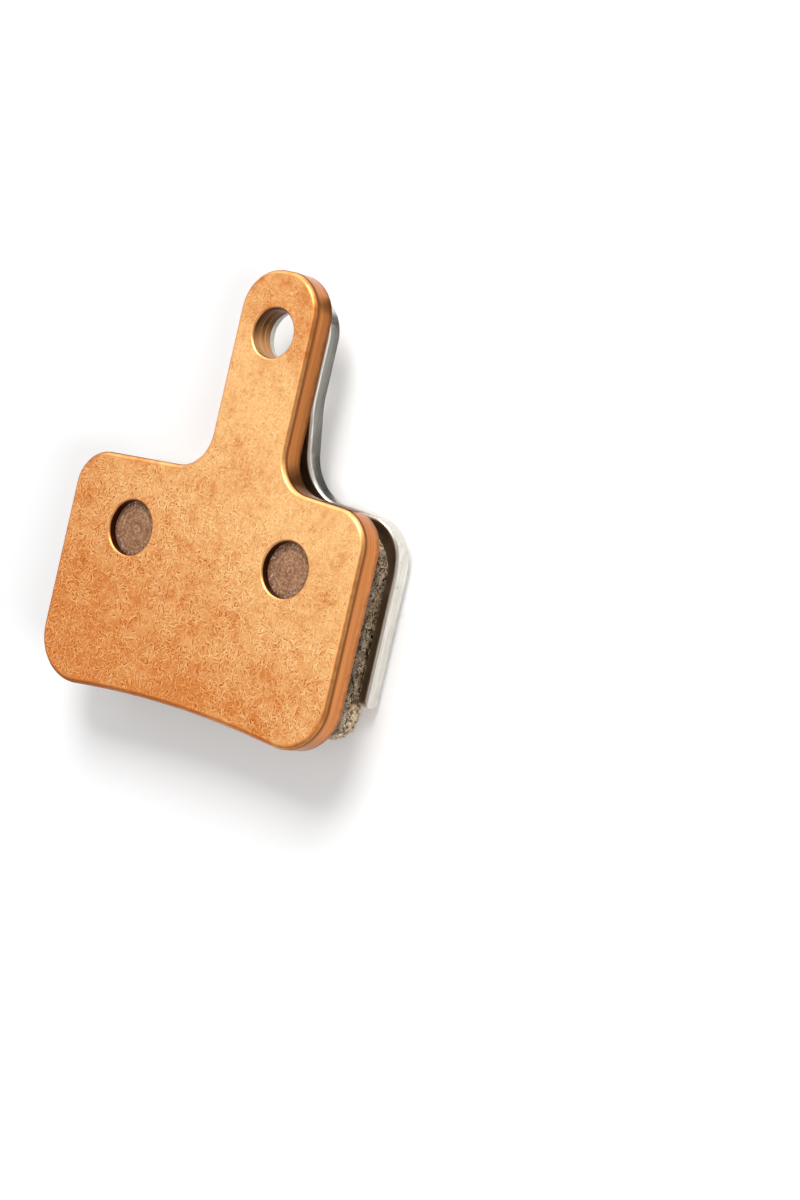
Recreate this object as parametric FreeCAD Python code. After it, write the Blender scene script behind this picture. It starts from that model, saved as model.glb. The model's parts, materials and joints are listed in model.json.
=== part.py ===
import FreeCAD, Part
import math
import os

# Driving dimensions in millimetres, angles in degrees
# Plan view: X across the pad, Y towards the tab, both from the middle of the key hole line
body_width = 30.0
base_drop = 12.7             # key hole line down to the middle of the bottom edge
base_arch = 1.2              # fall of the bottom edge from its middle to the sides
base_radius = 4.0
shoulder_rise = 6.2          # key hole line up to the shoulders, at the tab's centre line
shoulder_slope = 3.0         # fall of the shoulders away from the tab
shoulder_radius = 3.0
root_radius = 3.0            # inside corners between tab and shoulders
key_bore = 4.4
key_spacing = 16.2
pin_bore = 3.9
pin_rise = 17.45             # key hole line up to the pin bore
tab_offset = 1.75            # pin bore and tab, to the right of the body's middle
tab_side_wall = 1.85         # pin bore to the tab's sides
tab_end_wall = 3.0           # pin bore to the tab's top
tab_top_radius = 3.4

# Back plate
plate_thickness = 2.2
plate_edge = 0.3             # chamfer round the outer face
plate_back_edge = 0.15       # chamfer round the face towards the rotor
hole_edge = 0.15             # chamfer of the holes in the outer face

# Return spring, pressed from one sheet
spring_sheet = 0.7
spring_flange = 1.4          # full height of the turned edge
spring_bend = 0.3            # outside radius of the turned edge
spring_inset = 0.1           # spring's edge inside the plate's edge
spring_top_inset = 1.2       # top of the spring's tab below the plate's
spring_root_radius = 3.4     # inside corners between its tab and shoulders
spring_hole_clearance = 0.15
spring_step = 2.75           # arms stand this far off the plate
step_start = 2.05            # pin bore's edge down to the first bend
step_run = 11.0              # ramp from the tab down to the arms, corner to corner
step_radius = 6.0            # bends at both ends of the ramp
arm_flat = 0.15              # flat of the arms beside the turned edge
strip_flat = 0.25            # flat under the shoulders beside the turned edge
arm_end = 8.95               # key hole line down to the arm tips
tip_radius = 0.6             # rounding of the turned edge at the arm tips

# Friction block, and the bonding layer that carries it
friction_thickness = 3.8
friction_clearance = 0.45    # block to the spring's arms and shoulders
friction_base_inset = 1.2    # from the plate's bottom edge
friction_top_radius = 2.8
friction_base_radius = 2.2
friction_bevel = 0.5         # round the rotor face
bond_thickness = 0.8
bond_lip = 0.5               # shows this far round the friction block
bond_edge = 0.3              # rounding of the lip
key_recess = 0.75            # keys stop this far below the plate's outer face

# Sizes that follow: tab, friction block's insets from the plate, heights above the rotor face
tab_width = pin_bore + 2 * tab_side_wall
tab_rise = pin_rise + pin_bore / 2 + tab_end_wall
friction_side_inset = spring_inset + spring_sheet + arm_flat + friction_clearance
friction_top_inset = spring_inset + spring_sheet + strip_flat + friction_clearance
plate_z = friction_thickness + bond_thickness
outer_z = plate_z + plate_thickness


def vec(x, y, z=0.0):
    return FreeCAD.Vector(x, y, z)


def shoulder_point(x, inset):
    """Point of the shoulder line, moved down by an inset."""
    fall = math.tan(math.radians(shoulder_slope)) * abs(x - tab_offset)
    return vec(x, shoulder_rise - inset - fall)


def base_edge(half, inset):
    """Arched bottom edge from left to right, moved up by an inset."""
    middle = inset - base_drop
    side = middle - base_arch * (2 * half / body_width) ** 2
    return Part.Arc(vec(-half, side), vec(0, middle), vec(half, side)).toShape()


def upright_wall(base, points, z0, z1):
    """Solid from z0 to z1 over the bottom edge and the points that close its outline."""
    corners = [base.Vertexes[-1].Point] + points + [base.Vertexes[0].Point]
    lines = [Part.makeLine(a, b) for a, b in zip(corners, corners[1:])]
    face = Part.Face(Part.Wire([base] + lines))
    face.translate(vec(0, 0, z0))
    return face.extrude(vec(0, 0, z1 - z0))


def round_corners(solid, points, radius):
    """Round the upright edges that stand at the points."""
    picked = []
    for edge in solid.Edges:
        first, last = edge.Vertexes[0].Point, edge.Vertexes[-1].Point
        upright = math.hypot(first.x - last.x, first.y - last.y) < 1e-6 < edge.Length
        if upright and any(math.hypot(first.x - p.x, first.y - p.y) < 1e-4 for p in points):
            picked.append(edge)
    return solid.makeFillet(radius, picked)


def tab_blank(inset, top_inset, inside_radius, z0, z1):
    """Outline of body and tab, drawn in by an inset, with its own inset at the tab's top."""
    half = body_width / 2 - inset
    reach = tab_width / 2 - inset
    left = tab_offset - reach
    right = tab_offset + reach
    top = tab_rise - top_inset
    base = base_edge(half, inset)
    shoulders = [shoulder_point(half, inset), shoulder_point(-half, inset)]
    roots = [shoulder_point(right, inset), shoulder_point(left, inset)]
    tops = [vec(right, top), vec(left, top)]
    outline = [shoulders[0], roots[0], tops[0], tops[1], roots[1], shoulders[1]]
    solid = upright_wall(base, outline, z0, z1)
    solid = round_corners(solid, [v.Point for v in base.Vertexes], base_radius - inset)
    solid = round_corners(solid, shoulders, shoulder_radius - inset)
    solid = round_corners(solid, roots, inside_radius)
    return round_corners(solid, tops, tab_top_radius - inset)


def friction_blank(grow, z0, z1):
    """Outline of the friction block, grown evenly."""
    half = body_width / 2 - friction_side_inset + grow
    inset = friction_top_inset - grow
    base = base_edge(half, friction_base_inset - grow)
    tops = [shoulder_point(half, inset), shoulder_point(-half, inset)]
    outline = [tops[0], shoulder_point(tab_offset, inset), tops[1]]
    solid = upright_wall(base, outline, z0, z1)
    solid = round_corners(solid, tops, friction_top_radius + grow)
    return round_corners(solid, [v.Point for v in base.Vertexes], friction_base_radius + grow)


def level_edges(solid, z):
    """Edges that lie in the level z."""
    boxes = [(edge, edge.BoundBox) for edge in solid.Edges]
    return [edge for edge, box in boxes if max(abs(box.ZMin - z), abs(box.ZMax - z)) < 1e-4]


def bore(place, diameter, z0, z1):
    return Part.makeCylinder(diameter / 2, z1 - z0, vec(place.x, place.y, z0))


def countersink(place, diameter):
    """Cone that breaks a hole's edge in the plate's outer face."""
    radius = diameter / 2
    return Part.makeCone(radius, radius + hole_edge, hole_edge, vec(place.x, place.y, outer_z - hole_edge))


pin_place = vec(tab_offset, pin_rise)
key_places = [vec(side * key_spacing / 2, 0) for side in (-1, 1)]


def make_plate():
    """Flat blank with the pin bore and the two key holes, its rims broken."""
    plate = tab_blank(0, 0, root_radius, plate_z, outer_z)
    plate = plate.makeChamfer(plate_edge, level_edges(plate, outer_z))
    plate = plate.makeChamfer(plate_back_edge, level_edges(plate, plate_z))
    holes = [(pin_place, pin_bore)] + [(place, key_bore) for place in key_places]
    for place, diameter in holes:
        plate = plate.cut(bore(place, diameter, plate_z, outer_z))
        plate = plate.cut(countersink(place, diameter))
    return plate


def make_bond():
    """Bonding layer with a rounded lip, and the two keys that fill the plate's key holes."""
    bond = friction_blank(bond_lip, friction_thickness, plate_z)
    bond = bond.makeFillet(bond_edge, level_edges(bond, friction_thickness))
    for place in key_places:
        bond = bond.fuse(bore(place, key_bore, plate_z, outer_z - key_recess))
    return bond.removeSplitter()


def make_friction():
    """Friction block, bevelled round the rotor face."""
    block = friction_blank(0, 0, friction_thickness)
    return block.makeChamfer(friction_bevel, level_edges(block, 0))


def step_line(depth):
    """Side view of the sheet at a depth below its plate side: tab, bend, ramp, bend, arms."""
    turn = math.atan(spring_step / step_run)
    tangent = step_radius * math.tan(turn / 2)
    start = pin_rise - pin_bore / 2 - step_start
    arm_z = plate_z - spring_step

    def upper(angle):
        r = step_radius - depth
        return vec(0, start - r * math.sin(angle), plate_z - step_radius + r * math.cos(angle))

    def lower(angle):
        r = step_radius + depth
        end = start - 2 * tangent - step_run
        return vec(0, end + r * math.sin(angle), arm_z + step_radius - r * math.cos(angle))

    return [
        Part.makeLine(vec(0, tab_rise, plate_z - depth), upper(0)),
        Part.Arc(upper(0), upper(turn / 2), upper(turn)).toShape(),
        Part.makeLine(upper(turn), lower(turn)),
        Part.Arc(lower(turn), lower(turn / 2), lower(0)).toShape(),
        Part.makeLine(lower(0), vec(0, -body_width, arm_z - depth)),
    ]


def step_slab(depth):
    """Solid from the sheet's plate side to a depth below it, wider than the pad."""
    near = step_line(0)
    far = step_line(depth)
    ends = [(near[0].Vertexes[0], far[0].Vertexes[0]), (near[-1].Vertexes[-1], far[-1].Vertexes[-1])]
    caps = [Part.makeLine(a.Point, b.Point) for a, b in ends]
    face = Part.Face(Part.Wire(Part.__sortEdges__(near + far + caps)))
    face.translate(vec(-body_width, 0))
    return face.extrude(vec(2 * body_width, 0))


def upper_rim(solid):
    """Edges round the faces that look up, without those between two such faces."""
    seen = []
    for face in solid.Faces:
        u0, u1, v0, v1 = face.ParameterRange
        if face.normalAt((u0 + u1) / 2, (v0 + v1) / 2).z > 0.1:
            seen += face.Edges
    return [edge for edge in seen if sum(edge.isSame(other) for other in seen) == 1]


def arm_room():
    """Space down to the arm tips, as high as the turned edge there and rounded."""
    width = 2 * body_width
    lowest = plate_z - spring_step - spring_flange
    tips = Part.makeBox(width, spring_flange, spring_flange, vec(-body_width, -arm_end, lowest))
    edges = level_edges(tips, lowest) + level_edges(tips, lowest + spring_flange)
    tips = tips.makeFillet(tip_radius, [edge for edge in edges if abs(edge.CenterOfMass.y + arm_end) < 1e-4])
    above = spring_flange - arm_end
    rest = Part.makeBox(width, tab_rise - above, outer_z - lowest, vec(-body_width, above, lowest))
    return tips.fuse(rest)


def make_spring():
    """Stepped sheet with a turned edge, open round the friction block and at the bottom."""
    sheet = spring_sheet
    outline = tab_blank(spring_inset, spring_top_inset, spring_root_radius, 0, outer_z)
    inside = tab_blank(spring_inset + sheet, spring_top_inset + sheet, spring_root_radius + sheet, 0, outer_z)
    turned = step_slab(spring_flange).common(outline)
    turned = turned.makeFillet(spring_bend, upper_rim(turned))
    spring = turned.cut(inside.cut(step_slab(sheet)))
    spring = spring.common(arm_room())
    spring = spring.cut(friction_blank(friction_clearance, 0, outer_z))
    spring = spring.cut(bore(pin_place, pin_bore + 2 * spring_hole_clearance, 0, outer_z))
    return spring.removeSplitter()


nodes = {
    "back_plate": make_plate(),
    "bond_layer": make_bond(),
    "friction_block": make_friction(),
    "return_spring": make_spring(),
}
box = nodes["back_plate"].BoundBox
centring = vec(-(box.XMin + box.XMax) / 2, -(box.YMin + box.YMax) / 2)
os.makedirs("parts", exist_ok=True)
for name, shape in nodes.items():
    shape.translate(centring)
    shape.exportStep("parts/" + name + ".step")
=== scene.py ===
"""Sintered brake pad: metal finishes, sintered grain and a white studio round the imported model."""
import json
import math
import random

import bmesh
import bpy
from bpy.props import FloatProperty, FloatVectorProperty, IntProperty, PointerProperty
from mathutils import Matrix, Quaternion, Vector, noise
from mathutils.bvhtree import BVHTree


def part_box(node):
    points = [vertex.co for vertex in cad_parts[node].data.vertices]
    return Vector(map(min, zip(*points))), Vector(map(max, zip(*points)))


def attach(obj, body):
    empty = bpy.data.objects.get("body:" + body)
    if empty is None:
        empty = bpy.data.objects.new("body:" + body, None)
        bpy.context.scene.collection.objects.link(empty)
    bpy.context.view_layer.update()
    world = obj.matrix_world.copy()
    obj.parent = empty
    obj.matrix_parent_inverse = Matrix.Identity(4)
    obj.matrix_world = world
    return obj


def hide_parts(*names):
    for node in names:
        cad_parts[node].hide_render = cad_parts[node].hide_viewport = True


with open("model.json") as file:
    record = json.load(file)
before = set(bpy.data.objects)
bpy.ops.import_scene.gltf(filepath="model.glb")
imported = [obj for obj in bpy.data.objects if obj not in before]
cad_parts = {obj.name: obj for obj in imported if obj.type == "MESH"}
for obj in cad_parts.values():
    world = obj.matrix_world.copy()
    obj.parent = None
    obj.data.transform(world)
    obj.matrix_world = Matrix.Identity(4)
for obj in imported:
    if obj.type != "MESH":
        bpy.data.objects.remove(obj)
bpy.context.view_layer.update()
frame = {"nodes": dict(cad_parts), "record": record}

bl_info = {
    "name": "Sintered brake pad",
    "version": (1, 0, 0),
    "blender": (4, 5, 0),
    "location": "View3D > Sidebar > Brake pad",
    "description": "Metal finishes, sintered grain and studio for a bicycle disc brake pad",
    "category": "Object",
}

MM = 0.001
UP = (0.0, 0.0, 1.0)

# Places from the frame: heights in metres, the pin bore and the keys in millimetres
PLATE_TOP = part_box("back_plate")[1].z
PLATE_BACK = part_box("back_plate")[0].z
BLOCK_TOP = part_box("friction_block")[1].z
PIN = next(mount for mount in frame["record"]["mounts"] if mount["name"] == "pin_bore")
PIN_PLACE = [value / MM for value in PIN["pos_m"]]
PIN_RADIUS = PIN["dims"]["r_mm"]


def right_key():
    """Middle and radius in millimetres of the key on the right."""
    corners = [vert.co / MM for vert in frame["nodes"]["bond_layer"].data.vertices]
    top = max(corner.z for corner in corners)
    ring = [corner for corner in corners if corner.z > top - 0.01 and corner.x > 0]
    xs = [corner.x for corner in ring]
    ys = [corner.y for corner in ring]
    return ((min(xs) + max(xs)) / 2, (min(ys) + max(ys)) / 2), (max(xs) - min(xs)) / 2


KEY_PLACE, KEY_RADIUS = right_key()

# The face is painted lighter this way, a painted highlight and shade across the plating, and the pin bore's
# wall gets a painted highlight on this side
LIGHTER_WAY = (0.5, 0.85, 0.0)
BORE_HIGHLIGHT_SIDE = (-0.6, -0.8, 0.0)

# Layers of strokes in the blasted plating, each with its shift and its share of the pitch
STROKE_LAYERS = (
    ((0, 0, 0), 1.0),
    ((17, 5, 0), 0.86),
    ((34, 10, 0), 0.74),
    ((51, 15, 0), 0.64),
)
STROKE_SHARE = 0.82          # of the cells have a stroke
STROKE_FULL = 0.10           # of the cells have one at full strength

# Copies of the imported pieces: corners this near are merged, and facets that turn by less are joined
MERGE_REACH = 0.0001 * MM
FACET_TURN = math.radians(0.2)

# Edges that turn by more than these angles are rounded
RIM_TURN = math.radians(25)
EDGE_TURN = math.radians(35)
RIM_REACH = 0.2 * MM         # the chamfer round the outer face reaches lower than this, the holes' don't

# Friction block: two sets of strands that cross on a ground, with pores in it, and chips
STRAND_WAVES = 1.8           # waves to one blob of the fine strands' noise
STRAND_WIDTH = 0.30          # of the noise, from a strand's crest down to the ground
CROSSING_SHIFT = Vector((7.3, 1.9, 4.4))
GROUND = 0.30                # of the full height
PORE_SHIFT = Vector((2.2, 8.8, 5.1))
PORE_START = 0.22            # of the noise, where a pore begins
PORE_SLOPE = 2.4             # how fast it gets deeper
BONDED_SKIN = 0.06 * MM      # the bonded side stays flat down to this depth
CHIP_BATCH = 70              # chips in one mesh, because small meshes grow faster
CHIP_BENDS = (-1.6, -0.8, 0.0, 0.9, 1.8)     # in widths of the chip
CHIP_SINK = 0.07 * MM        # chips lie up to this far below the block's face
CHIP_TILT = 0.09             # and lean by up to this angle, in radians
CHIP_COVER = 0.002 * MM      # their corners lie at least this deep

# Lamps that face the pad: place, width and height, setting of their power, whether metal mirrors them
PAD_MIDDLE = Vector((0, 0, 0))
LAMPS = (
    ("key_lamp", (0.04, 0.34, 0.36), (0.24, 0.24), "key_power", True),
    ("back_lamp", (-0.27, 0.38, 0.09), (0.36, 0.18), "back_power", True),
    ("side_lamp", (0.40, -0.05, 0.22), (0.15, 0.25), "side_power", False),
    ("rim_lamp", (0.10, 0.0, 0.49), (0.08, 0.40), "rim_power", True),
)

# Dark cards: place, width and height, tone, whether they face the pad or lie flat on the floor
CARDS = (
    ("camera_flag", (0.42, 0.0, 0.34), (0.60, 0.60), (0.44, 0.40, 0.37, 1), True),
    ("front_flag", (0.10, -0.46, 0.22), (0.40, 0.34), (0.44, 0.40, 0.37, 1), True),
    ("tab_flag", (7.2 * MM, 11.4 * MM, 0.2 * MM), (4.2 * MM, 18.0 * MM), (0.03, 0.027, 0.024, 1), False),
    ("left_flag", (-57.0 * MM, 25.0 * MM, 0.2 * MM), (76.0 * MM, 150.0 * MM), (0.40, 0.36, 0.33, 1), False),
    ("low_flag", (-0.117, -0.162, 0.03), (0.24, 0.10), (0.20, 0.18, 0.16, 1), True),
)
PAPER_FADE = (45.0, 140.0)   # millimetres off the middle over which the floor turns plain white


# Settings

def length(name, description, default):
    return FloatProperty(name=name, description=description, default=default, unit="LENGTH", precision=6)


def share(name, description, default):
    return FloatProperty(name=name, description=description, default=default, min=0, max=1, subtype="FACTOR")


def level(name, description, default):
    return FloatProperty(name=name, description=description, default=default)


def power(name, description, default):
    return FloatProperty(name=name, description=description, default=default, unit="POWER")


def angle(name, description, degrees):
    return FloatProperty(name=name, description=description, default=math.radians(degrees), subtype="ANGLE")


def colour(name, description, default):
    return FloatVectorProperty(
        name=name, description=description, default=default, size=4, min=0, max=1, subtype="COLOR"
    )


class BrakePadPlate(bpy.types.PropertyGroup):
    """Colours, edges and finish of the back plate"""
    face: colour("Face", "Copper plating of the outer face", (0.955, 0.525, 0.210, 1))
    # Redder colour of the tarnished plating, also used for the painted shade across the face
    tarnish_and_shade: colour("Tarnish", "Redder and darker clouds in the plating", (0.66, 0.220, 0.052, 1))
    # Stroke colours: painted highlight on the crests and painted shade in the grooves, over real grain
    highlight_and_light_grain: colour("Light strokes", "Crests of the blasted surface", (1.0, 0.71, 0.335, 1))
    dull_highlight_and_grain: colour("Dull strokes", "Crests where the plating is tarnished", (0.93, 0.43, 0.150, 1))
    groove_shade_and_grain_tint: colour("Dark strokes", "Tint of the grooves of the blasted surface", (0.50, 0.28, 0.12, 1))
    # Chamfer tint: painted shade that darkens the outer chamfer
    rim_shade_tint: colour("Rim tint", "Tint of the chamfer round the outer face", (0.84, 0.54, 0.34, 1))
    wall: colour("Cut edge", "Sheared sides of the plate", (0.42, 0.140, 0.036, 1))
    wall_streak: colour("Cut edge streaks", "Drag lines along the sheared sides", (0.68, 0.265, 0.080, 1))
    # Colour of the sheared sides' lower part, also used for a line of painted shade below the chamfer
    torn_and_shade: colour("Torn edge", "Rough lower part of the sheared sides", (0.20, 0.062, 0.018, 1))
    bore: colour("Bore", "Tarnished wall of the pin bore", (0.10, 0.034, 0.011, 1))
    # Key hole walls: painted shade
    key_hole_shade: colour("Key hole walls", "Sooty walls above the keys", (0.075, 0.026, 0.009, 1))
    bore_streak: colour("Bore streaks", "Bright tool marks round the pin bore", (0.66, 0.32, 0.115, 1))
    rim: length("Rim rounding", "Rounding of the chamfer round the outer face", 0.13 * MM)
    edge: length("Edge rounding", "Rounding of the holes' and the back's edges", 0.06 * MM)
    stroke_pitch: length("Stroke pitch", "Distance between strokes", 0.52 * MM)
    roughness: share("Roughness", "Roughness of the plating", 0.40)
    rim_roughness: share("Rim roughness", "Roughness of the rubbed rims", 0.36)


class BrakePadBond(bpy.types.PropertyGroup):
    """Colours of the bonding layer and its keys"""
    layer: colour("Layer", "Bonding layer round the friction block", (0.065, 0.017, 0.010, 1))
    layer_sheen: colour("Layer sheen", "Copper that shows through the layer", (0.30, 0.105, 0.045, 1))
    key: colour("Keys", "Sintered keys in the plate's holes", (0.235, 0.106, 0.052, 1))
    key_grain: colour("Key grain", "Lighter grains in the keys", (0.56, 0.325, 0.185, 1))
    key_glint: colour("Key glints", "Bright grains along the keys' rims", (0.78, 0.66, 0.60, 1))


class BrakePadFriction(bpy.types.PropertyGroup):
    """Colours, grain and chips of the friction block"""
    matrix: colour("Matrix", "Sintered metal between the chips", (0.215, 0.145, 0.088, 1))
    # Near-black colour of the pores, also used for the painted shade near the bonding layer
    pore_and_bond_shade: colour("Pits", "Pores of the sintered metal", (0.014, 0.009, 0.005, 1))
    crest: colour("Crests", "Fused metal on the crests", (0.60, 0.435, 0.27, 1))
    steel: colour("Steel chips", "Steel chips in the matrix", (1.0, 0.88, 0.70, 1))
    brass: colour("Brass chips", "Brass chips in the matrix", (0.78, 0.58, 0.31, 1))
    scaled: colour("Scaled chips", "Chips dulled by the furnace", (0.58, 0.425, 0.26, 1))
    voxel: length("Mesh size", "Spacing of the grain's mesh", 0.12 * MM)
    depth: length("Grain depth", "Deepest pores below the block's face", 0.26 * MM)
    chip_count: IntProperty(name="Chips", description="Metal chips in the surface", default=5600, min=0)
    chip_length: length("Chip length", "Longest chips", 0.95 * MM)
    chip_width: length("Chip width", "Widest chips", 0.16 * MM)
    seed: IntProperty(name="Seed", description="Arrangement of the pores and chips", default=11)


class BrakePadSpring(bpy.types.PropertyGroup):
    """Colours, edges and finish of the return spring"""
    steel: colour("Steel", "Rolled spring steel", (0.74, 0.72, 0.67, 1))
    shade: colour("Shade", "Duller patches of the sheet", (0.55, 0.525, 0.465, 1))
    # Darker colour of the sheet's upward faces: partly its rolled face, partly painted shade under the plate
    scale: colour("Scale", "Rolling scale on the sheet's faces", (0.28, 0.225, 0.150, 1))
    speck: colour("Specks", "Dark specks on the sheet", (0.05, 0.045, 0.04, 1))
    edge: length("Edge rounding", "Rounding of the sheet's edges", 0.05 * MM)
    roughness: share("Roughness", "Roughness of the sheet", 0.36)


class BrakePadStage(bpy.types.PropertyGroup):
    """Floor, room, lamps and camera"""
    paper: colour("Paper", "Floor under the pad", (0.90, 0.90, 0.90, 1))
    paper_lift: level("Paper lift", "Floor's tone to the camera", 1.12)
    paper_glow: level("Paper glow", "Floor's tone in reflections", 1.20)
    fill: level("Fill", "Strength of the room's soft light", 0.38)
    key_power: power("Key lamp", "Power of the overhead lamp", 1.70)
    back_power: power("Back lamp", "Power of the lamp behind", 0.40)
    side_power: power("Side lamp", "Power of the lamp that lights the friction block", 1.0)
    rim_power: power("Rim lamp", "Power of the strip above", 0.13)
    aim: FloatVectorProperty(
        name="Aim", description="Point that the camera looks at", subtype="XYZ", unit="LENGTH",
        default=(19.34 * MM, -4.446 * MM, PLATE_TOP),
    )
    distance: length("Distance", "Camera to aim point", 205.6 * MM)
    azimuth: angle("Azimuth", "Camera round the pad", 95.19)
    elevation: angle("Elevation", "Camera above the floor", 54.04)
    roll: angle("Roll", "Camera turned about its own axis", -81.13)
    lens: FloatProperty(name="Lens", description="Focal length", default=83.498, unit="CAMERA")


class BrakePadSettings(bpy.types.PropertyGroup):
    """All settings of the brake pad"""
    plate: PointerProperty(type=BrakePadPlate)
    bond: PointerProperty(type=BrakePadBond)
    friction: PointerProperty(type=BrakePadFriction)
    spring: PointerProperty(type=BrakePadSpring)
    stage: PointerProperty(type=BrakePadStage)


# Node helpers

def add(tree, kind, inputs, **settings):
    """New node with its settings and its inputs, each a value or a socket to link."""
    made = tree.nodes.new(kind)
    for key, value in settings.items():
        setattr(made, key, value)
    for key, value in inputs.items():
        if isinstance(value, bpy.types.NodeSocket):
            tree.links.new(value, made.inputs[key])
        else:
            made.inputs[key].default_value = value
    return made


def sums(tree, operation, *values):
    """Result of a math node."""
    return add(tree, "ShaderNodeMath", dict(enumerate(values)), operation=operation).outputs[0]


def total(tree, first, *others):
    """Sum of several numbers."""
    for other in others:
        first = sums(tree, "ADD", first, other)
    return first


def ramp(tree, value, low, high, start=0.0, end=1.0):
    """Value eased from start at low to end at high."""
    inputs = {"Value": value, "From Min": low, "From Max": high, "To Min": start, "To Max": end}
    return add(tree, "ShaderNodeMapRange", inputs, interpolation_type="SMOOTHSTEP").outputs[0]


def hump(tree, value, rise, fall):
    """Mask between a rise and a fall of the value, each a pair of where it is 0 and where it is 1."""
    return sums(tree, "MULTIPLY", ramp(tree, value, *rise), ramp(tree, value, *fall))


# A mix node's sockets go by number: 2 and 3 are its two numbers, 6 and 7 its two colours

def blend(tree, factor, first, second, kind="MIX"):
    """Colour between two colours, mixed in the way that kind says."""
    inputs = {0: factor, 6: first, 7: second}
    made = add(tree, "ShaderNodeMix", inputs, data_type="RGBA", blend_type=kind, clamp_factor=True)
    return made.outputs[2]


def stain(tree, factor, ground, tint):
    """Colour darkened by a tint."""
    return blend(tree, factor, ground, tint, "MULTIPLY")


def between(tree, factor, first, second):
    """Number between two numbers."""
    return add(tree, "ShaderNodeMix", {0: factor, 2: first, 3: second}, data_type="FLOAT").outputs[0]


def vectors(tree, operation, *values):
    """Vector that a vector math node gives."""
    return add(tree, "ShaderNodeVectorMath", dict(enumerate(values)), operation=operation).outputs["Vector"]


def measure(tree, operation, *values):
    """Number that a vector math node gives."""
    return add(tree, "ShaderNodeVectorMath", dict(enumerate(values)), operation=operation).outputs["Value"]


def scaled(tree, vector, factor):
    """Vector times a number."""
    inputs = {"Vector": vector, "Scale": factor}
    return add(tree, "ShaderNodeVectorMath", inputs, operation="SCALE").outputs["Vector"]


def axes(tree, vector):
    """The vector's three numbers, by their names X, Y and Z."""
    return add(tree, "ShaderNodeSeparateXYZ", {"Vector": vector}).outputs


def flat_point(tree, x, y=0.0):
    """Point at height zero."""
    return add(tree, "ShaderNodeCombineXYZ", {"X": x, "Y": y}).outputs["Vector"]


def place_mm(tree):
    """The point's place on the object, in millimetres."""
    return scaled(tree, add(tree, "ShaderNodeTexCoord", {}).outputs["Object"], 1 / MM)


def facing_up(tree):
    """How far the surface faces up: 1 up, 0 sideways and -1 down."""
    return axes(tree, add(tree, "ShaderNodeNewGeometry", {}).outputs["Normal"])["Z"]


def stretched(tree, place, shift, scale=(1, 1, 1)):
    """Place moved by a shift and stretched, so that each pattern has its own stretch of noise."""
    return add(tree, "ShaderNodeMapping", {"Vector": place, "Location": shift, "Scale": scale}).outputs[0]


def along(tree, place, direction):
    """How far the place lies along a direction."""
    return measure(tree, "DOT_PRODUCT", place, direction)


def off_axis(tree, place, middle):
    """How far the place lies from an upright axis."""
    return measure(tree, "LENGTH", stretched(tree, place, (-middle[0], -middle[1], 0), (1, 1, 0)))


def off_keys(tree, place):
    """How far the place lies from the nearer key's axis."""
    parts = axes(tree, place)
    on_right = flat_point(tree, sums(tree, "ABSOLUTE", parts["X"]), parts["Y"])
    return off_axis(tree, on_right, KEY_PLACE)


def cloud(tree, place, pitch, detail=2.0, roughness=0.5, distortion=0.0):
    """Noise whose clouds are about one pitch wide, in the units of place."""
    inputs = {
        "Vector": place, "Scale": 1 / pitch, "Detail": detail, "Roughness": roughness,
        "Distortion": distortion,
    }
    return add(tree, "ShaderNodeTexNoise", inputs).outputs["Fac"]


def warped(tree, place, pitch, reach):
    """Place pushed to and fro by noise."""
    inputs = {"Vector": place, "Scale": 1 / pitch, "Detail": 1.0}
    push = add(tree, "ShaderNodeTexNoise", inputs).outputs["Color"]
    centred = vectors(tree, "SUBTRACT", push, (0.5, 0.5, 0.5))
    return vectors(tree, "MULTIPLY_ADD", centred, (2 * reach,) * 3, place)


def fused_strands(tree, place, shift, pitch):
    """Worm-like strands a pitch apart, about 0 between them and 1 on their crests."""
    inputs = {
        "Vector": stretched(tree, place, shift), "Scale": 1 / (STRAND_WAVES * pitch),
        "Frequency": STRAND_WAVES, "Anisotropy": 0.0,
    }
    wave = add(tree, "ShaderNodeTexGabor", inputs, gabor_type="3D").outputs["Value"]
    return sums(tree, "MULTIPLY_ADD", wave, 6.0, -2.5)


def bent_strokes(tree, place, shift, pitch):
    """Short bent strokes, strong or faint, one to a cell: masks of their crests, painted as highlights, and
    of their dark flanks on one side, painted as shade.
    """
    moved = stretched(tree, place, shift, (1, 1, 0))
    inputs = {"Vector": moved, "Scale": 1 / pitch}
    cells = add(tree, "ShaderNodeTexVoronoi", inputs, voronoi_dimensions="2D").outputs
    chance = add(tree, "ShaderNodeSeparateColor", {"Color": cells["Color"]}).outputs
    inputs = {
        "Vector": vectors(tree, "SUBTRACT", moved, cells["Position"]),
        "Angle": sums(tree, "MULTIPLY", chance["Red"], math.tau),
    }
    turned = axes(tree, add(tree, "ShaderNodeVectorRotate", inputs, rotation_type="Z_AXIS").outputs[0])
    bow = ramp(tree, chance["Green"], 0.0, 1.0, 0.48 * pitch, 1.3 * pitch)
    from_bow = flat_point(tree, sums(tree, "ADD", turned["X"], bow), turned["Y"])
    off = sums(tree, "SUBTRACT", measure(tree, "LENGTH", from_bow), bow)
    ends = ramp(tree, sums(tree, "ABSOLUTE", turned["Y"]), 0.30 * pitch, 0.52 * pitch, 1.0, 0.0)
    drawn = sums(tree, "MULTIPLY", ends, ramp(tree, chance["Blue"], STROKE_SHARE, STROKE_FULL))
    crest = hump(tree, off, (-0.02, 0.06 * pitch), (0.25 * pitch, 0.13 * pitch))
    shaded_flank = hump(tree, off, (0.0, -0.08 * pitch), (-0.27 * pitch, -0.15 * pitch))
    return sums(tree, "MULTIPLY", crest, drawn), sums(tree, "MULTIPLY", shaded_flank, drawn)


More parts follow.
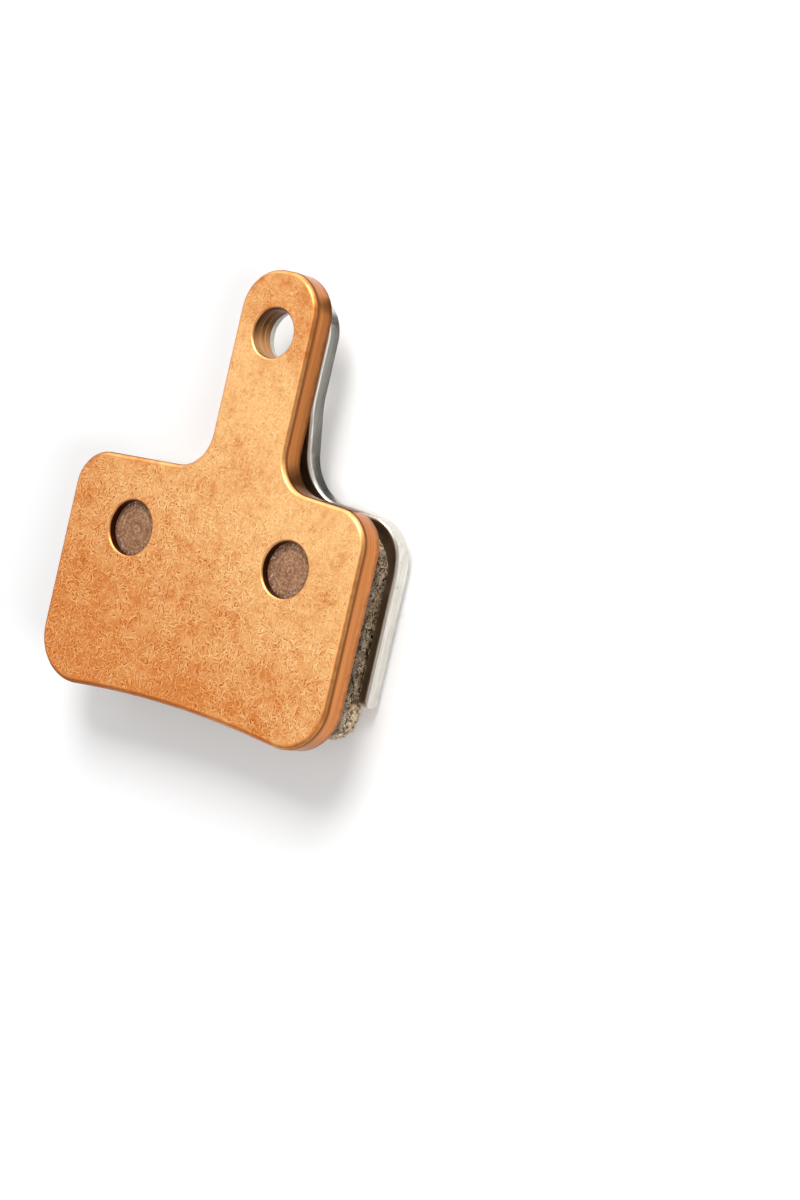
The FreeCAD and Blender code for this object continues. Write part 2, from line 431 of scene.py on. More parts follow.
def layered_strokes(tree, place, pitch):
    """Crests and flanks of the layers of bent strokes, over each other."""
    layers = [bent_strokes(tree, place, shift, pitch * size) for shift, size in STROKE_LAYERS]
    crest, shaded_flank = layers[0]
    for more_crest, more_shaded_flank in layers[1:]:
        crest = sums(tree, "MAXIMUM", crest, more_crest)
        shaded_flank = sums(tree, "MAXIMUM", shaded_flank, more_shaded_flank)
    return crest, shaded_flank


def new_material(name):
    """Material with a principled shader, and its node tree and shader node."""
    material = bpy.data.materials.new(name)
    material.use_nodes = True
    tree = material.node_tree
    return material, tree, tree.nodes["Principled BSDF"]


def set_sockets(tree, shader, **sockets):
    """Set or link the shader's sockets, with underscores for the spaces in their names."""
    for name, value in sockets.items():
        socket = shader.inputs[name.replace("_", " ")]
        if isinstance(value, bpy.types.NodeSocket):
            tree.links.new(value, socket)
        else:
            socket.default_value = value


def relief(tree, height, depth, strength=1.0):
    """Normal of a bumpy surface whose height runs over a depth in metres."""
    inputs = {"Height": height, "Distance": depth, "Strength": strength}
    return add(tree, "ShaderNodeBump", inputs).outputs[0]


# Finishes, with their lengths in millimetres

def tarnish_and_shade_share(tree, place, rise):
    """Share of the darker, redder colour: real tarnishing in clouds, patches and a fine mottle, and a painted
    highlight and shade, darker low on the pad and at the tab's end.
    """
    clouds = cloud(tree, stretched(tree, place, (3.1, 7.7, 0.0)), 7.0, detail=4.0, roughness=0.58)
    patches = cloud(tree, stretched(tree, place, (11.0, 2.0, 3.0)), 1.6, detail=3.0, roughness=0.6)
    mottle = cloud(tree, stretched(tree, place, (1.0, 13.0, 5.0)), 0.55, detail=2.0, roughness=0.6)
    return total(
        tree,
        # Painted highlight and shade: a gradient, darker low on the pad and at the tab's end
        ramp(tree, rise, -19.0, 9.0, 0.82, -0.08),
        ramp(tree, rise, 8.0, 15.0, 0.0, 0.55),
        ramp(tree, clouds, 0.40, 0.70, -0.05, 0.24),
        ramp(tree, patches, 0.42, 0.75, -0.03, 0.42),
        ramp(tree, mottle, 0.40, 0.68, -0.05, 0.22),
    )


def blasted_strokes(tree, place, rise, pitch, grain, rim):
    """Crests, painted as highlights, and grooves, painted as shade, of the blasted faces, with grain, fainter
    where they are worn, and none on the rims.
    """
    wear = ramp(tree, cloud(tree, stretched(tree, place, (21.0, 4.0, 1.0)), 2.6), 0.35, 0.62, 0.65, 1.0)
    depth = sums(tree, "MULTIPLY", wear, sums(tree, "SUBTRACT", 1.0, rim))
    crest, shaded_flank = layered_strokes(tree, warped(tree, place, 0.6, 0.12), pitch)
    shaded_flank = sums(tree, "MULTIPLY", ramp(tree, shaded_flank, 0.15, 0.95), ramp(tree, rise, -8.0, 6.0, 0.95, 0.28))
    crest = sums(tree, "MULTIPLY", crest, ramp(tree, rise, -4.0, 8.0, 1.0, 0.50))
    groove_shade_and_grain = sums(tree, "ADD", shaded_flank, ramp(tree, grain, 0.50, 0.30, 0.0, 0.42))
    crest = sums(tree, "ADD", crest, ramp(tree, grain, 0.50, 0.70, 0.0, 0.75))
    return sums(tree, "MULTIPLY", crest, depth), sums(tree, "MULTIPLY", groove_shade_and_grain, depth)


def blasted_copper(tree, place, plate, rise, crest, groove_shade_and_grain, rim):
    """Colour of the faces and of the chamfers round them, the outer one darker than the holes' as painted
    shade, with the strokes' painted highlight and shade.
    """
    tarnish_and_shade = tarnish_and_shade_share(tree, place, rise)
    face = blend(tree, tarnish_and_shade, plate.face, plate.tarnish_and_shade)
    # Painted shade on the strokes' flanks and painted highlight on their crests
    face = stain(tree, sums(tree, "MULTIPLY", groove_shade_and_grain, 0.95), face, plate.groove_shade_and_grain_tint)
    strand = blend(tree, tarnish_and_shade, plate.highlight_and_light_grain, plate.dull_highlight_and_grain)
    face = blend(tree, sums(tree, "MULTIPLY", crest, 0.95), face, strand)
    off_pin = sums(tree, "SUBTRACT", off_axis(tree, place, PIN_PLACE), PIN_RADIUS)
    off_key = sums(tree, "SUBTRACT", off_keys(tree, place), KEY_RADIUS)
    off_holes = sums(tree, "MINIMUM", off_pin, off_key)
    # Painted shade: the outer chamfer darkened, the holes' chamfers not
    outer_rim_shade = sums(tree, "MULTIPLY", rim, ramp(tree, off_holes, 0.15, 0.40, 0.0, 0.30))
    return stain(tree, outer_rim_shade, face, plate.rim_shade_tint)


def sheared_copper(tree, place, plate, drag):
    """Colour of the sides: drag lines, a lower part where the shear tore the metal, and a dark line of
    painted shade below the chamfer.
    """
    high = along(tree, place, UP)
    wall = blend(tree, ramp(tree, drag, 0.24, 0.80), plate.wall, plate.wall_streak)
    tear = cloud(tree, place, 0.7, detail=4.0, roughness=0.7)
    ragged = sums(tree, "MULTIPLY_ADD", tear, 1.2, PLATE_BACK / MM - 0.30)
    torn_and_shade = ramp(tree, sums(tree, "SUBTRACT", high, ragged), -0.15, 0.45, 0.60, 0.0)
    wall = blend(tree, torn_and_shade, wall, plate.torn_and_shade)
    # Painted shade: a dark line just below the chamfer
    shade_below_rim = ramp(tree, high, PLATE_TOP / MM - 0.62, PLATE_TOP / MM - 0.40)
    return blend(tree, sums(tree, "MULTIPLY", shade_below_rim, 0.90), wall, plate.torn_and_shade)


def bored_copper(tree, place, plate, drag):
    """Colour of the pin bore's wall: tool marks, and a painted highlight on one side."""
    from_pin = stretched(tree, place, (-PIN_PLACE[0], -PIN_PLACE[1], 0))
    # Painted highlight on the bore's lower-left side
    rubbed = ramp(tree, along(tree, from_pin, BORE_HIGHLIGHT_SIDE), 0.2, PIN_RADIUS, -0.20, 0.52)
    bright = sums(tree, "ADD", ramp(tree, drag, 0.38, 0.66, 0.0, 0.74), rubbed)
    return blend(tree, bright, plate.bore, plate.bore_streak)


def copper_plating(plate):
    """Blasted copper on the faces, sheared copper on the sides, dark copper in the holes, with painted shade
    on the key holes' walls.
    """
    material, tree, shader = new_material("copper_plating")
    place = place_mm(tree)
    up = sums(tree, "ABSOLUTE", facing_up(tree))
    side = ramp(tree, up, 0.40, 0.66, 1.0, 0.0)
    rim = hump(tree, up, (0.08, 0.25), (0.9998, 0.99))

    rise = along(tree, place, LIGHTER_WAY)
    grain = cloud(tree, place, 0.22, detail=3.0, roughness=0.75, distortion=0.8)
    crest, groove_shade_and_grain = blasted_strokes(tree, place, rise, plate.stroke_pitch / MM, grain, rim)
    face = blasted_copper(tree, place, plate, rise, crest, groove_shade_and_grain, rim)

    drag = cloud(tree, stretched(tree, place, (0, 0, 0), (0.10, 0.10, 6.5)), 1.0, detail=5.0, roughness=0.70)
    wall = sheared_copper(tree, place, plate, drag)
    in_bore = ramp(tree, off_axis(tree, place, PIN_PLACE), PIN_RADIUS + 0.05, PIN_RADIUS + 0.12, 1.0, 0.0)
    wall = blend(tree, in_bore, wall, bored_copper(tree, place, plate, drag))
    # Painted shade on the key holes' walls
    in_key_hole = ramp(tree, off_keys(tree, place), KEY_RADIUS + 0.03, KEY_RADIUS + 0.10, 1.0, 0.0)
    wall = blend(tree, in_key_hole, wall, plate.key_hole_shade)

    waves = sums(tree, "ADD", sums(tree, "SUBTRACT", crest, groove_shade_and_grain), sums(tree, "MULTIPLY", grain, 0.5))
    height = between(tree, side, waves, sums(tree, "MULTIPLY", drag, 2.0))
    rough = ramp(tree, grain, 0.3, 0.7, plate.roughness - 0.05, plate.roughness + 0.07)
    rough = between(tree, side, rough, plate.roughness - 0.10)
    smooth = sums(tree, "MAXIMUM", rim, sums(tree, "MULTIPLY", in_bore, side))
    rough = between(tree, smooth, rough, plate.rim_roughness)
    strength = between(tree, rim, 0.16, 0.0)
    set_sockets(
        tree, shader, Base_Color=blend(tree, side, face, wall), Metallic=1.0, Roughness=rough,
        Normal=relief(tree, height, 0.020 * MM, strength),
    )
    return material


def key_cake(tree, place, bond, grain, cake):
    """Colour of the keys: grains, uneven rings round the axis, and edges darkened as painted shade, with
    bright grains.
    """
    reach = off_keys(tree, place)
    swirl = sums(tree, "MULTIPLY_ADD", cake, 0.5, reach)
    rings = cloud(tree, flat_point(tree, swirl), 0.30, detail=2.0)
    tone = total(
        tree,
        ramp(tree, grain, 0.38, 0.66, 0.0, 0.72),
        ramp(tree, cake, 0.42, 0.62, -0.10, 0.18),
        ramp(tree, rings, 0.35, 0.65, -0.22, 0.18),
        # Painted shade: darker towards the keys' edges
        ramp(tree, reach, KEY_RADIUS * 0.80, KEY_RADIUS, 0.05, -0.40),
    )
    cakes = blend(tree, sums(tree, "MAXIMUM", tone, 0.0), bond.key, bond.key_grain)
    border = ramp(tree, reach, KEY_RADIUS * 0.62, KEY_RADIUS * 0.90)
    glints = cloud(tree, stretched(tree, place, (17, 3, 8)), 0.17, detail=1.0)
    glints = sums(tree, "MULTIPLY", border, ramp(tree, glints, 0.60, 0.68))
    return blend(tree, sums(tree, "MULTIPLY", glints, 0.75), cakes, bond.key_glint)


def bonding(bond):
    """Dark bonding layer low down, matt sintered keys in the plate's holes."""
    material, tree, shader = new_material("bonding_brown")
    place = place_mm(tree)
    smear = cloud(tree, stretched(tree, place, (0, 0, 0), (1.0, 1.0, 3.0)), 1.3, detail=3.0, roughness=0.6)
    layer = blend(tree, ramp(tree, smear, 0.52, 0.78), bond.layer, bond.layer_sheen)
    grain = cloud(tree, place, 0.20, detail=3.0, roughness=0.8)
    cake = cloud(tree, stretched(tree, place, (5, 9, 2)), 1.3, detail=4.0, roughness=0.65, distortion=0.6)
    key = ramp(tree, along(tree, place, UP), PLATE_BACK / MM + 0.2, PLATE_BACK / MM + 0.6)
    base = blend(tree, key, layer, key_cake(tree, place, bond, grain, cake))
    set_sockets(
        tree, shader, Base_Color=base, Metallic=ramp(tree, key, 0.0, 1.0, 0.0, 0.25),
        Roughness=ramp(tree, key, 0.0, 1.0, 0.55, 0.60), Specular_IOR_Level=0.25,
        Normal=relief(tree, sums(tree, "ADD", grain, cake), 0.05 * MM, 0.8),
    )
    return material


def shade_near_bond(tree, place):
    """Share of painted shade that darkens the block's sides towards the bonding layer, where the plate shades
    them.
    """
    top = BLOCK_TOP / MM
    uneven = sums(tree, "MULTIPLY_ADD", cloud(tree, place, 0.8), 0.8, along(tree, place, UP))
    return ramp(tree, uneven, top - 1.75, top - 0.60, 0.0, 0.72)


def sintered_matrix(friction):
    """Fused metal powder: dark pores, lighter crests, brass-coloured clouds, bright strands, and painted
    shade towards the plate.
    """
    material, tree, shader = new_material("sintered_matrix")
    place = place_mm(tree)
    crest = add(tree, "ShaderNodeAttribute", {}, attribute_name="crest").outputs["Fac"]
    tint = cloud(tree, place, 0.9, detail=2.0)
    strands = ramp(tree, fused_strands(tree, place, (13.0, 5.0, 3.0), 0.3), 0.70, 1.05)
    body = blend(tree, ramp(tree, tint, 0.42, 0.66, 0.0, 0.25), friction.matrix, friction.brass)
    base = blend(tree, ramp(tree, crest, 0.12, 0.52), friction.pore_and_bond_shade, body)
    base = blend(tree, ramp(tree, crest, 0.55, 0.95), base, friction.crest)
    base = blend(tree, sums(tree, "MULTIPLY", strands, 0.55), base, friction.steel)
    # Painted shade towards the plate
    base = blend(tree, shade_near_bond(tree, place), base, friction.pore_and_bond_shade)
    set_sockets(
        tree, shader, Base_Color=base, Metallic=0.25, Roughness=0.42,
        Normal=relief(tree, sums(tree, "ADD", strands, cloud(tree, place, 0.15)), 0.04 * MM, 0.8),
    )
    return material


def metal_chips(friction):
    """Chips from dark and scaled to bright steel and brass, each with its own tone, with painted shade
    towards the plate.
    """
    material, tree, shader = new_material("metal_chips")
    place = place_mm(tree)
    tone = add(tree, "ShaderNodeAttribute", {}, attribute_name="tone").outputs["Fac"]
    dull = cloud(tree, place, 0.3, detail=2.0)
    base = blend(tree, ramp(tree, tone, 0.18, 0.42), friction.matrix, friction.scaled)
    base = blend(tree, ramp(tree, tone, 0.52, 0.62), base, friction.brass)
    base = blend(tree, ramp(tree, tone, 0.67, 0.75), base, friction.steel)
    base = blend(tree, ramp(tree, dull, 0.48, 0.72, 0.0, 0.55), base, friction.matrix)
    # Painted shade towards the plate
    base = blend(tree, shade_near_bond(tree, place), base, friction.pore_and_bond_shade)
    set_sockets(
        tree, shader, Base_Color=base, Metallic=0.55, Roughness=ramp(tree, dull, 0.3, 0.7, 0.20, 0.42),
        Normal=relief(tree, dull, 0.02 * MM, 0.5),
    )
    return material


def rolled_steel(spring):
    """Satin spring steel: fine rolling lines, dull patches, specks, and a darker colour on what faces up,
    partly rolling scale and partly painted shade under the plate.
    """
    material, tree, shader = new_material("rolled_steel")
    place = place_mm(tree)
    lines = stretched(tree, place, (0, 0, 0), (7.0, 0.22, 7.0))
    rolling = cloud(tree, lines, 1.0, detail=4.0, roughness=0.65)
    dull = cloud(tree, stretched(tree, place, (4, 2, 6)), 3.2, detail=4.0, roughness=0.6)
    specks = ramp(tree, cloud(tree, stretched(tree, place, (9, 1, 2)), 0.35, detail=1.0), 0.76, 0.80)
    base = blend(tree, ramp(tree, dull, 0.42, 0.72, 0.0, 0.75), spring.steel, spring.shade)
    base = blend(tree, ramp(tree, rolling, 0.42, 0.62, 0.0, 0.70), base, spring.shade)
    base = blend(tree, sums(tree, "MULTIPLY", specks, 0.7), base, spring.speck)
    # Partly painted shade: darker on what faces up, where the flats lie under the plate
    base = blend(tree, ramp(tree, facing_up(tree), 0.80, 0.97, 0.0, 0.90), base, spring.scale)
    rough = ramp(tree, dull, 0.35, 0.7, spring.roughness - 0.04, spring.roughness + 0.10)
    set_sockets(
        tree, shader, Base_Color=base, Metallic=1.0, Roughness=rough,
        Normal=relief(tree, rolling, 0.012 * MM, 0.6),
    )
    return material


# Shapes

def new_piece(name, shell, material):
    """Object at the origin from a bmesh, smooth shaded, riding on the pad."""
    mesh = bpy.data.meshes.new(name)
    shell.to_mesh(mesh)
    shell.free()
    for layer in ("custom_normal", "sharp_edge", "sharp_face"):
        if layer in mesh.attributes:
            mesh.attributes.remove(mesh.attributes[layer])
    mesh.materials.clear()
    mesh.materials.append(material)
    mesh.shade_smooth()
    piece = bpy.data.objects.new(name, mesh)
    bpy.context.scene.collection.objects.link(piece)
    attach(piece, "root")
    return piece


def merged_copy(node):
    """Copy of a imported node's mesh, closed, with its flat facets joined."""
    shell = bmesh.new()
    shell.from_mesh(frame["nodes"][node].data)
    bmesh.ops.remove_doubles(shell, verts=shell.verts, dist=MERGE_REACH)
    bmesh.ops.dissolve_limit(shell, angle_limit=FACET_TURN, verts=shell.verts, edges=shell.edges)
    return shell


def sharp_edges(shell, turn):
    """Edges between faces that turn by more than an angle."""
    return [edge for edge in shell.edges if edge.calc_face_angle(0.0) > turn]


def on_rim(edge):
    """Whether an edge of the plate bounds the chamfer round its outer face."""
    slopes = [face for face in edge.link_faces if 0.3 < face.normal.z < 0.95]
    return any(vert.co.z < PLATE_TOP - RIM_REACH for face in slopes for vert in face.verts)


def soften_edges(shell, edges, width):
    """Round edges by a width."""
    bmesh.ops.bevel(
        shell, geom=edges, offset=width, offset_type="OFFSET", affect="EDGES", segments=3, profile=0.5,
        material=-1, clamp_overlap=True,
    )


def weighted_normals(piece):
    """Flat faces stay flat beside their rounded edges."""
    modifier = piece.modifiers.new("flat_faces", "WEIGHTED_NORMAL")
    modifier.mode = "FACE_AREA_WITH_ANGLE"
    modifier.weight = 80


def evaluated_mesh(piece):
    """Mesh of a piece with its modifiers applied."""
    graph = bpy.context.evaluated_depsgraph_get()
    return bpy.data.meshes.new_from_object(piece.evaluated_get(graph))


# Friction block

def even_block(voxel):
    """Copy of the friction block with an even mesh."""
    source = bpy.data.objects.new("even_block", bpy.data.meshes.new("even_block"))
    shell = merged_copy("friction_block")
    shell.to_mesh(source.data)
    shell.free()
    bpy.context.scene.collection.objects.link(source)
    remesh = source.modifiers.new("even", "REMESH")
    remesh.mode = "VOXEL"
    remesh.voxel_size = voxel
    bpy.context.view_layer.update()
    mesh = evaluated_mesh(source)
    bpy.data.objects.remove(source)
    even = bmesh.new()
    even.from_mesh(mesh)
    bpy.data.meshes.remove(mesh)
    return even


def felt(place):
    """Height of the fused felt at a place in millimetres, from 0 in the pores to 1 on the crests."""
    drift = noise.noise_vector(place * 1.3) * 0.30
    strand = abs(noise.noise((place + drift) * 2.1))
    crossing = abs(noise.noise((place - drift) * 2.7 + CROSSING_SHIFT))
    crest = 1.0 - min(1.0, min(strand, crossing * 1.15) / STRAND_WIDTH)
    pore = max(0.0, noise.noise(place * 1.5 + PORE_SHIFT) - PORE_START) * PORE_SLOPE
    return max(0.0, min(1.0, GROUND + (1.0 - GROUND) * crest - pore))


def pit_block(even, friction):
    """Sink the even block's faces into pores, but not its bonded side. The height stays as an attribute."""
    noise.seed_set(friction.seed)
    even.normal_update()
    layer = even.verts.layers.float.new("crest")
    bonded = BLOCK_TOP - BONDED_SKIN
    moves = []
    for vert in even.verts:
        height = felt(vert.co / MM)
        vert[layer] = height
        if vert.co.z < bonded:
            moves.append((vert, vert.normal * (height - 1.0) * friction.depth))
    for vert, move in moves:
        vert.co += move
    flat = [face for face in even.faces if face.normal.z > 0.99 and face.calc_center_median().z > bonded]
    edges = list(dict.fromkeys(edge for face in flat for edge in face.edges))
    bmesh.ops.dissolve_limit(even, angle_limit=math.radians(1), verts=[], edges=edges)


def chip_blank(bend):
    """Bar of length, width and thickness one, bent in its plane and tapered towards one end."""
    bar = bmesh.new()
    bmesh.ops.create_cube(bar, size=1.0)
    long_edges = [edge for edge in bar.edges if abs(edge.verts[0].co.x - edge.verts[1].co.x) > 0.5]
    bmesh.ops.subdivide_edges(bar, edges=long_edges, cuts=1)
    middle = [vert for vert in bar.verts if abs(vert.co.x) < 0.1]
    bmesh.ops.translate(bar, verts=middle, vec=(0.0, bend, 0.0))
    ends = [vert for vert in bar.verts if vert.co.x > 0.4]
    bmesh.ops.scale(bar, verts=ends, vec=(1.0, 0.6, 0.7))
    mesh = bpy.data.meshes.new("chip_blank")
    bar.to_mesh(mesh)
    bar.free()
    return mesh


def surface_picker(draw):
    """Function that draws a point on the block's open faces and the normal there, and a tree of all faces."""
    shell = bmesh.new()
    shell.from_mesh(frame["nodes"]["friction_block"].data)
    bmesh.ops.triangulate(shell, faces=shell.faces)
    open_faces = [face for face in shell.faces if face.normal.z < 0.5]
    corners = [[vert.co.copy() for vert in face.verts] for face in open_faces]
    normals = [face.normal.copy() for face in open_faces]
    areas = [face.calc_area() for face in open_faces]
    tree = BVHTree.FromBMesh(shell)
    shell.free()

    def pick():
        index = draw.choices(range(len(areas)), weights=areas)[0]
        u, v = draw.random(), draw.random()
        if u + v > 1:
            u, v = 1 - u, 1 - v
        a, b, c = corners[index]
        return a + (b - a) * u + (c - a) * v, normals[index]

    return pick, tree


def chip_matrix(friction, draw, point, normal):
    """Place, turn and size of one chip that lies in the face at a point."""
    size = Vector((
        friction.chip_length * draw.uniform(0.35, 1.0),
        friction.chip_width * draw.uniform(0.55, 1.0),
        friction.chip_width * draw.uniform(0.4, 0.8),
    ))
    sink = size.z * 0.5 + CHIP_SINK * draw.random()
    turn = normal.to_track_quat("Z", "Y") @ Quaternion((0, 0, 1), draw.uniform(0, math.tau))
    tilt = Quaternion((0, 1, 0), draw.uniform(-CHIP_TILT, CHIP_TILT))
    return Matrix.LocRotScale(point - normal * sink, turn @ tilt, size)


def stands_out(tree, corner):
    """Whether a corner of a chip lies outside the block or too near its face."""
    near, normal, _, _ = tree.find_nearest(corner)
    return (corner - near).dot(normal) > -CHIP_COVER


def chip_batch(friction, draw, pick, tree, blanks):
    """Mesh of one batch of chips, each with its own tone."""
    batch = bmesh.new()
    made = 0
    while made < CHIP_BATCH:
        matrix = chip_matrix(friction, draw, *pick())
        blank = draw.choice(blanks)
        shade = draw.random()
        if any(stands_out(tree, matrix @ vert.co) for vert in blank.vertices):
            continue
        first_vert, first_face = len(batch.verts), len(batch.faces)
        batch.from_mesh(blank)
        tone = batch.faces.layers.float.get("tone") or batch.faces.layers.float.new("tone")
        batch.verts.ensure_lookup_table()
        batch.faces.ensure_lookup_table()
        bmesh.ops.transform(batch, matrix=matrix, verts=batch.verts[first_vert:])
        for face in batch.faces[first_face:]:
            face[tone] = shade
        made += 1
    mesh = bpy.data.meshes.new("chip_batch")
    batch.to_mesh(mesh)
    batch.free()
    return mesh


def scatter_chips(friction):
    """Bent metal chips just below the block's faces, made in batches."""
    draw = random.Random(friction.seed)
    pick, tree = surface_picker(draw)
    blanks = [chip_blank(bend) for bend in CHIP_BENDS]
    chips = bmesh.new()
    for _ in range(friction.chip_count // CHIP_BATCH):
        mesh = chip_batch(friction, draw, pick, tree, blanks)
        chips.from_mesh(mesh)
        bpy.data.meshes.remove(mesh)
    for blank in blanks:
        bpy.data.meshes.remove(blank)
    return chips


# Stage

def facing_pad(place):
    """Turn that points an object's -Z from a place to the pad."""
    return (PAD_MIDDLE - Vector(place)).to_track_quat("-Z", "Y")


def add_lamp(name, place, size, watts):
    """Soft rectangular lamp that shines on the pad."""
    lamp = bpy.data.lights.new(name, "AREA")
    lamp.shape = "RECTANGLE"
    lamp.size, lamp.size_y = size
    lamp.energy = watts
    body = bpy.data.objects.new(name, lamp)
    body.location = place
    body.rotation_mode = "QUATERNION"
    body.rotation_quaternion = facing_pad(place)
    bpy.context.scene.collection.objects.link(body)
    return body


def add_flag(name, place, turn, size, tone):
    """Dark card that only reflections see."""
    card = bmesh.new()
    bmesh.ops.create_grid(card, x_segments=1, y_segments=1, size=0.5)
    bmesh.ops.transform(card, matrix=Matrix.LocRotScale(place, turn, (*size, 1.0)), verts=card.verts)
    mesh = bpy.data.meshes.new(name)
    card.to_mesh(mesh)
    card.free()
    material, tree, shader = new_material(name)
    set_sockets(tree, shader, Base_Color=tone, Roughness=0.9)
    mesh.materials.append(material)
    flag = bpy.data.objects.new(name, mesh)
    flag.visible_camera = False
    flag.visible_diffuse = False
    flag.visible_shadow = False
    bpy.context.scene.collection.objects.link(flag)


def ray_kinds(tree):
    """Whether a ray comes from the camera, and whether metal or glass sends it on: each 1 or 0."""
    path = add(tree, "ShaderNodeLightPath", {}).outputs
    sent_on = sums(tree, "MAXIMUM", path["Is Glossy Ray"], path["Is Transmission Ray"])
    return path["Is Camera Ray"], sent_on


# Operators

class BRAKEPAD_OT_back_plate(bpy.types.Operator):
    """Give the back plate rounded rims and its copper plating"""
    bl_idname = "brakepad.back_plate"
    bl_label = "Back plate"

    def execute(self, context):
        plate = context.scene.brake_pad.plate
        shell = merged_copy("back_plate")
        rims = [edge for edge in sharp_edges(shell, RIM_TURN) if on_rim(edge)]
        soften_edges(shell, rims, plate.rim)
        others = [edge for edge in sharp_edges(shell, EDGE_TURN) if not on_rim(edge)]
        soften_edges(shell, others, plate.edge)
        piece = new_piece("copper_back_plate", shell, copper_plating(plate))
        weighted_normals(piece)
        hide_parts("back_plate")
        return {"FINISHED"}


class BRAKEPAD_OT_bond_layer(bpy.types.Operator):
    """Finish the bonding layer and its keys"""
    bl_idname = "brakepad.bond_layer"
    bl_label = "Bonding layer"

    def execute(self, context):
        node = frame["nodes"]["bond_layer"]
        node.material_slots[0].material = bonding(context.scene.brake_pad.bond)
        return {"FINISHED"}


class BRAKEPAD_OT_friction_block(bpy.types.Operator):
    """Give the friction block its sintered grain and metal chips"""
    bl_idname = "brakepad.friction_block"
    bl_label = "Friction block"

    def execute(self, context):
        friction = context.scene.brake_pad.friction
        even = even_block(friction.voxel)
        if not even.faces:
            raise RuntimeError("the friction block has no even mesh")
        pit_block(even, friction)
        block = new_piece("sintered_block", even, sintered_matrix(friction))
        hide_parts("friction_block")
        chips = new_piece("sintered_chips", scatter_chips(friction), metal_chips(friction))
        chips.data.shade_flat()
        return {"FINISHED"}


class BRAKEPAD_OT_return_spring(bpy.types.Operator):
    """Give the return spring softened edges and its rolled finish"""
    bl_idname = "brakepad.return_spring"
    bl_label = "Return spring"

    def execute(self, context):
        spring = context.scene.brake_pad.spring
        shell = merged_copy("return_spring")
        soften_edges(shell, sharp_edges(shell, EDGE_TURN), spring.edge)
        piece = new_piece("rolled_return_spring", shell, rolled_steel(spring))
        weighted_normals(piece)
        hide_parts("return_spring")
        return {"FINISHED"}


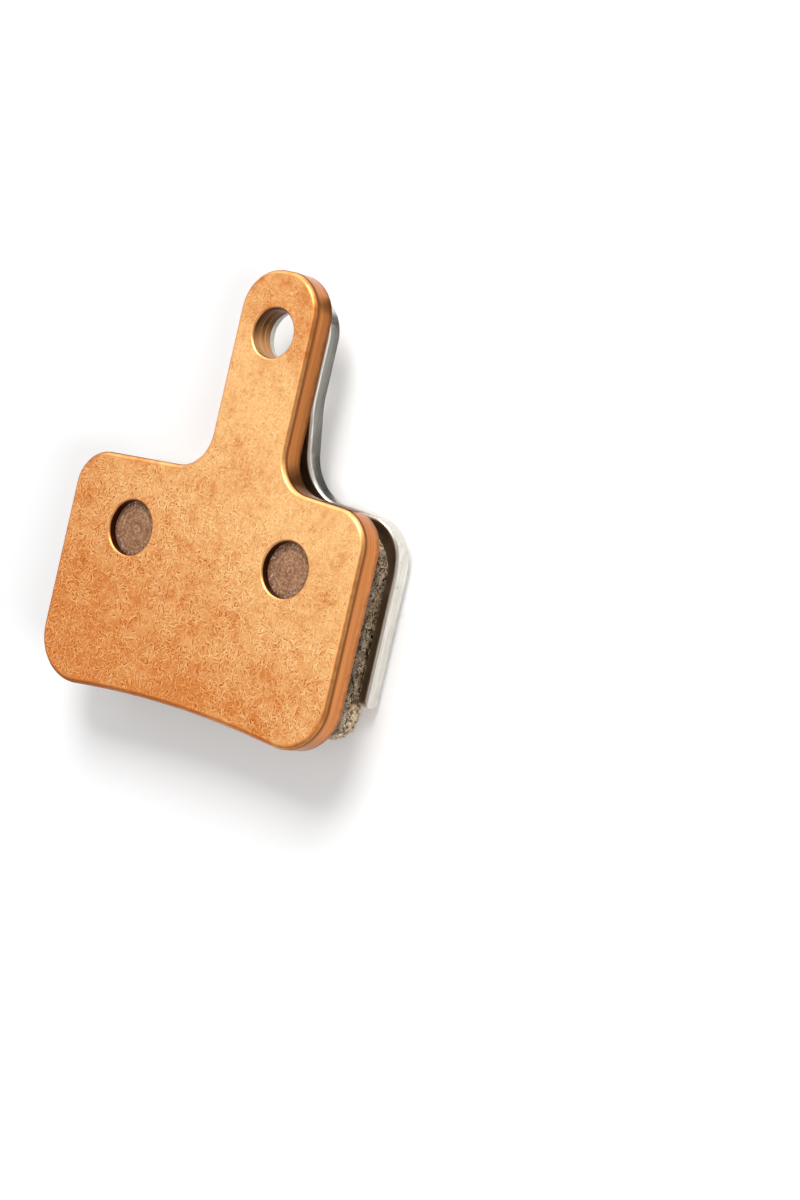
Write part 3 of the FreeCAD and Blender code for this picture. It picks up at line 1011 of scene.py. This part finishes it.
class BRAKEPAD_OT_stage(bpy.types.Operator):
    """Lay out the white floor, lamps, dark cards and camera"""
    bl_idname = "brakepad.stage"
    bl_label = "Stage"

    def execute(self, context):
        scene = context.scene
        stage = scene.brake_pad.stage
        scene.view_settings.view_transform = "Standard"
        self.floor(stage)
        self.room(scene, stage)
        for name, place, size, setting, mirrored in LAMPS:
            lamp = add_lamp(name, place, size, getattr(stage, setting))
            lamp.visible_glossy = mirrored
        for name, place, size, tone, upright in CARDS:
            turn = facing_pad(place) if upright else Quaternion()
            add_flag(name, place, turn, size, tone)
        self.camera(scene, stage)
        return {"FINISHED"}

    def floor(self, stage):
        """Paper that keeps the pad's shadow and turns plain white farther off."""
        sheet = bmesh.new()
        bmesh.ops.create_grid(sheet, x_segments=1, y_segments=1, size=3.0)
        mesh = bpy.data.meshes.new("floor")
        sheet.to_mesh(mesh)
        sheet.free()
        material, tree, shader = new_material("paper")
        seen, sent_on = ray_kinds(tree)
        lift = between(tree, sent_on, between(tree, seen, 1.0, stage.paper_lift), stage.paper_glow)
        tone = scaled(tree, stage.paper[:3], lift)
        set_sockets(tree, shader, Base_Color=tone, Roughness=1.0, Specular_IOR_Level=0.0)
        far = ramp(tree, off_axis(tree, place_mm(tree), PAD_MIDDLE), *PAPER_FADE)
        inputs = {
            0: sums(tree, "MULTIPLY", far, sums(tree, "MAXIMUM", seen, sent_on)), 1: shader.outputs[0],
            2: add(tree, "ShaderNodeEmission", {"Color": (1, 1, 1, 1), "Strength": 1.0}).outputs[0],
        }
        paper = add(tree, "ShaderNodeMixShader", inputs).outputs[0]
        tree.links.new(paper, tree.nodes["Material Output"].inputs["Surface"])
        mesh.materials.append(material)
        floor = bpy.data.objects.new("floor", mesh)
        bpy.context.scene.collection.objects.link(floor)

    def room(self, scene, stage):
        """Soft light all round, from a room that looks white."""
        world = bpy.data.worlds.new("room")
        scene.world = world
        world.use_nodes = True
        tree = world.node_tree
        background = tree.nodes["Background"]
        background.inputs["Color"].default_value = (1, 1, 1, 1)
        strength = between(tree, sums(tree, "MAXIMUM", *ray_kinds(tree)), stage.fill, 1.0)
        tree.links.new(strength, background.inputs["Strength"])

    def camera(self, scene, stage):
        """Camera that looks at the aim point from its distance and angles."""
        flat = math.cos(stage.elevation)
        back = Vector((
            math.sin(stage.azimuth) * flat, -math.cos(stage.azimuth) * flat, math.sin(stage.elevation)
        ))
        camera = bpy.data.objects.new("camera", bpy.data.cameras.new("camera"))
        camera.data.lens = stage.lens
        camera.data.clip_start = 0.01
        camera.location = Vector(stage.aim) + back * stage.distance
        camera.rotation_mode = "QUATERNION"
        camera.rotation_quaternion = (-back).to_track_quat("-Z", "Y") @ Quaternion((0, 0, 1), stage.roll)
        scene.collection.objects.link(camera)
        scene.camera = camera


OPERATORS = (
    BRAKEPAD_OT_back_plate, BRAKEPAD_OT_bond_layer, BRAKEPAD_OT_friction_block, BRAKEPAD_OT_return_spring,
    BRAKEPAD_OT_stage,
)


class BRAKEPAD_PT_panel(bpy.types.Panel):
    """Pieces of the brake pad and its stage"""
    bl_idname = "BRAKEPAD_PT_panel"
    bl_label = "Brake pad"
    bl_space_type = "VIEW_3D"
    bl_region_type = "UI"
    bl_category = "Brake pad"

    def draw(self, context):
        for operator in OPERATORS:
            self.layout.operator(operator.bl_idname)


CLASSES = (
    BrakePadPlate, BrakePadBond, BrakePadFriction, BrakePadSpring, BrakePadStage, BrakePadSettings,
    *OPERATORS, BRAKEPAD_PT_panel,
)


def register():
    for made in CLASSES:
        bpy.utils.register_class(made)
    bpy.types.Scene.brake_pad = PointerProperty(type=BrakePadSettings)


def unregister():
    del bpy.types.Scene.brake_pad
    for made in reversed(CLASSES):
        bpy.utils.unregister_class(made)


def main():
    register()
    bpy.ops.brakepad.back_plate()
    bpy.ops.brakepad.bond_layer()
    bpy.ops.brakepad.friction_block()
    bpy.ops.brakepad.return_spring()
    bpy.ops.brakepad.stage()


if __name__ == "__main__":
    main()
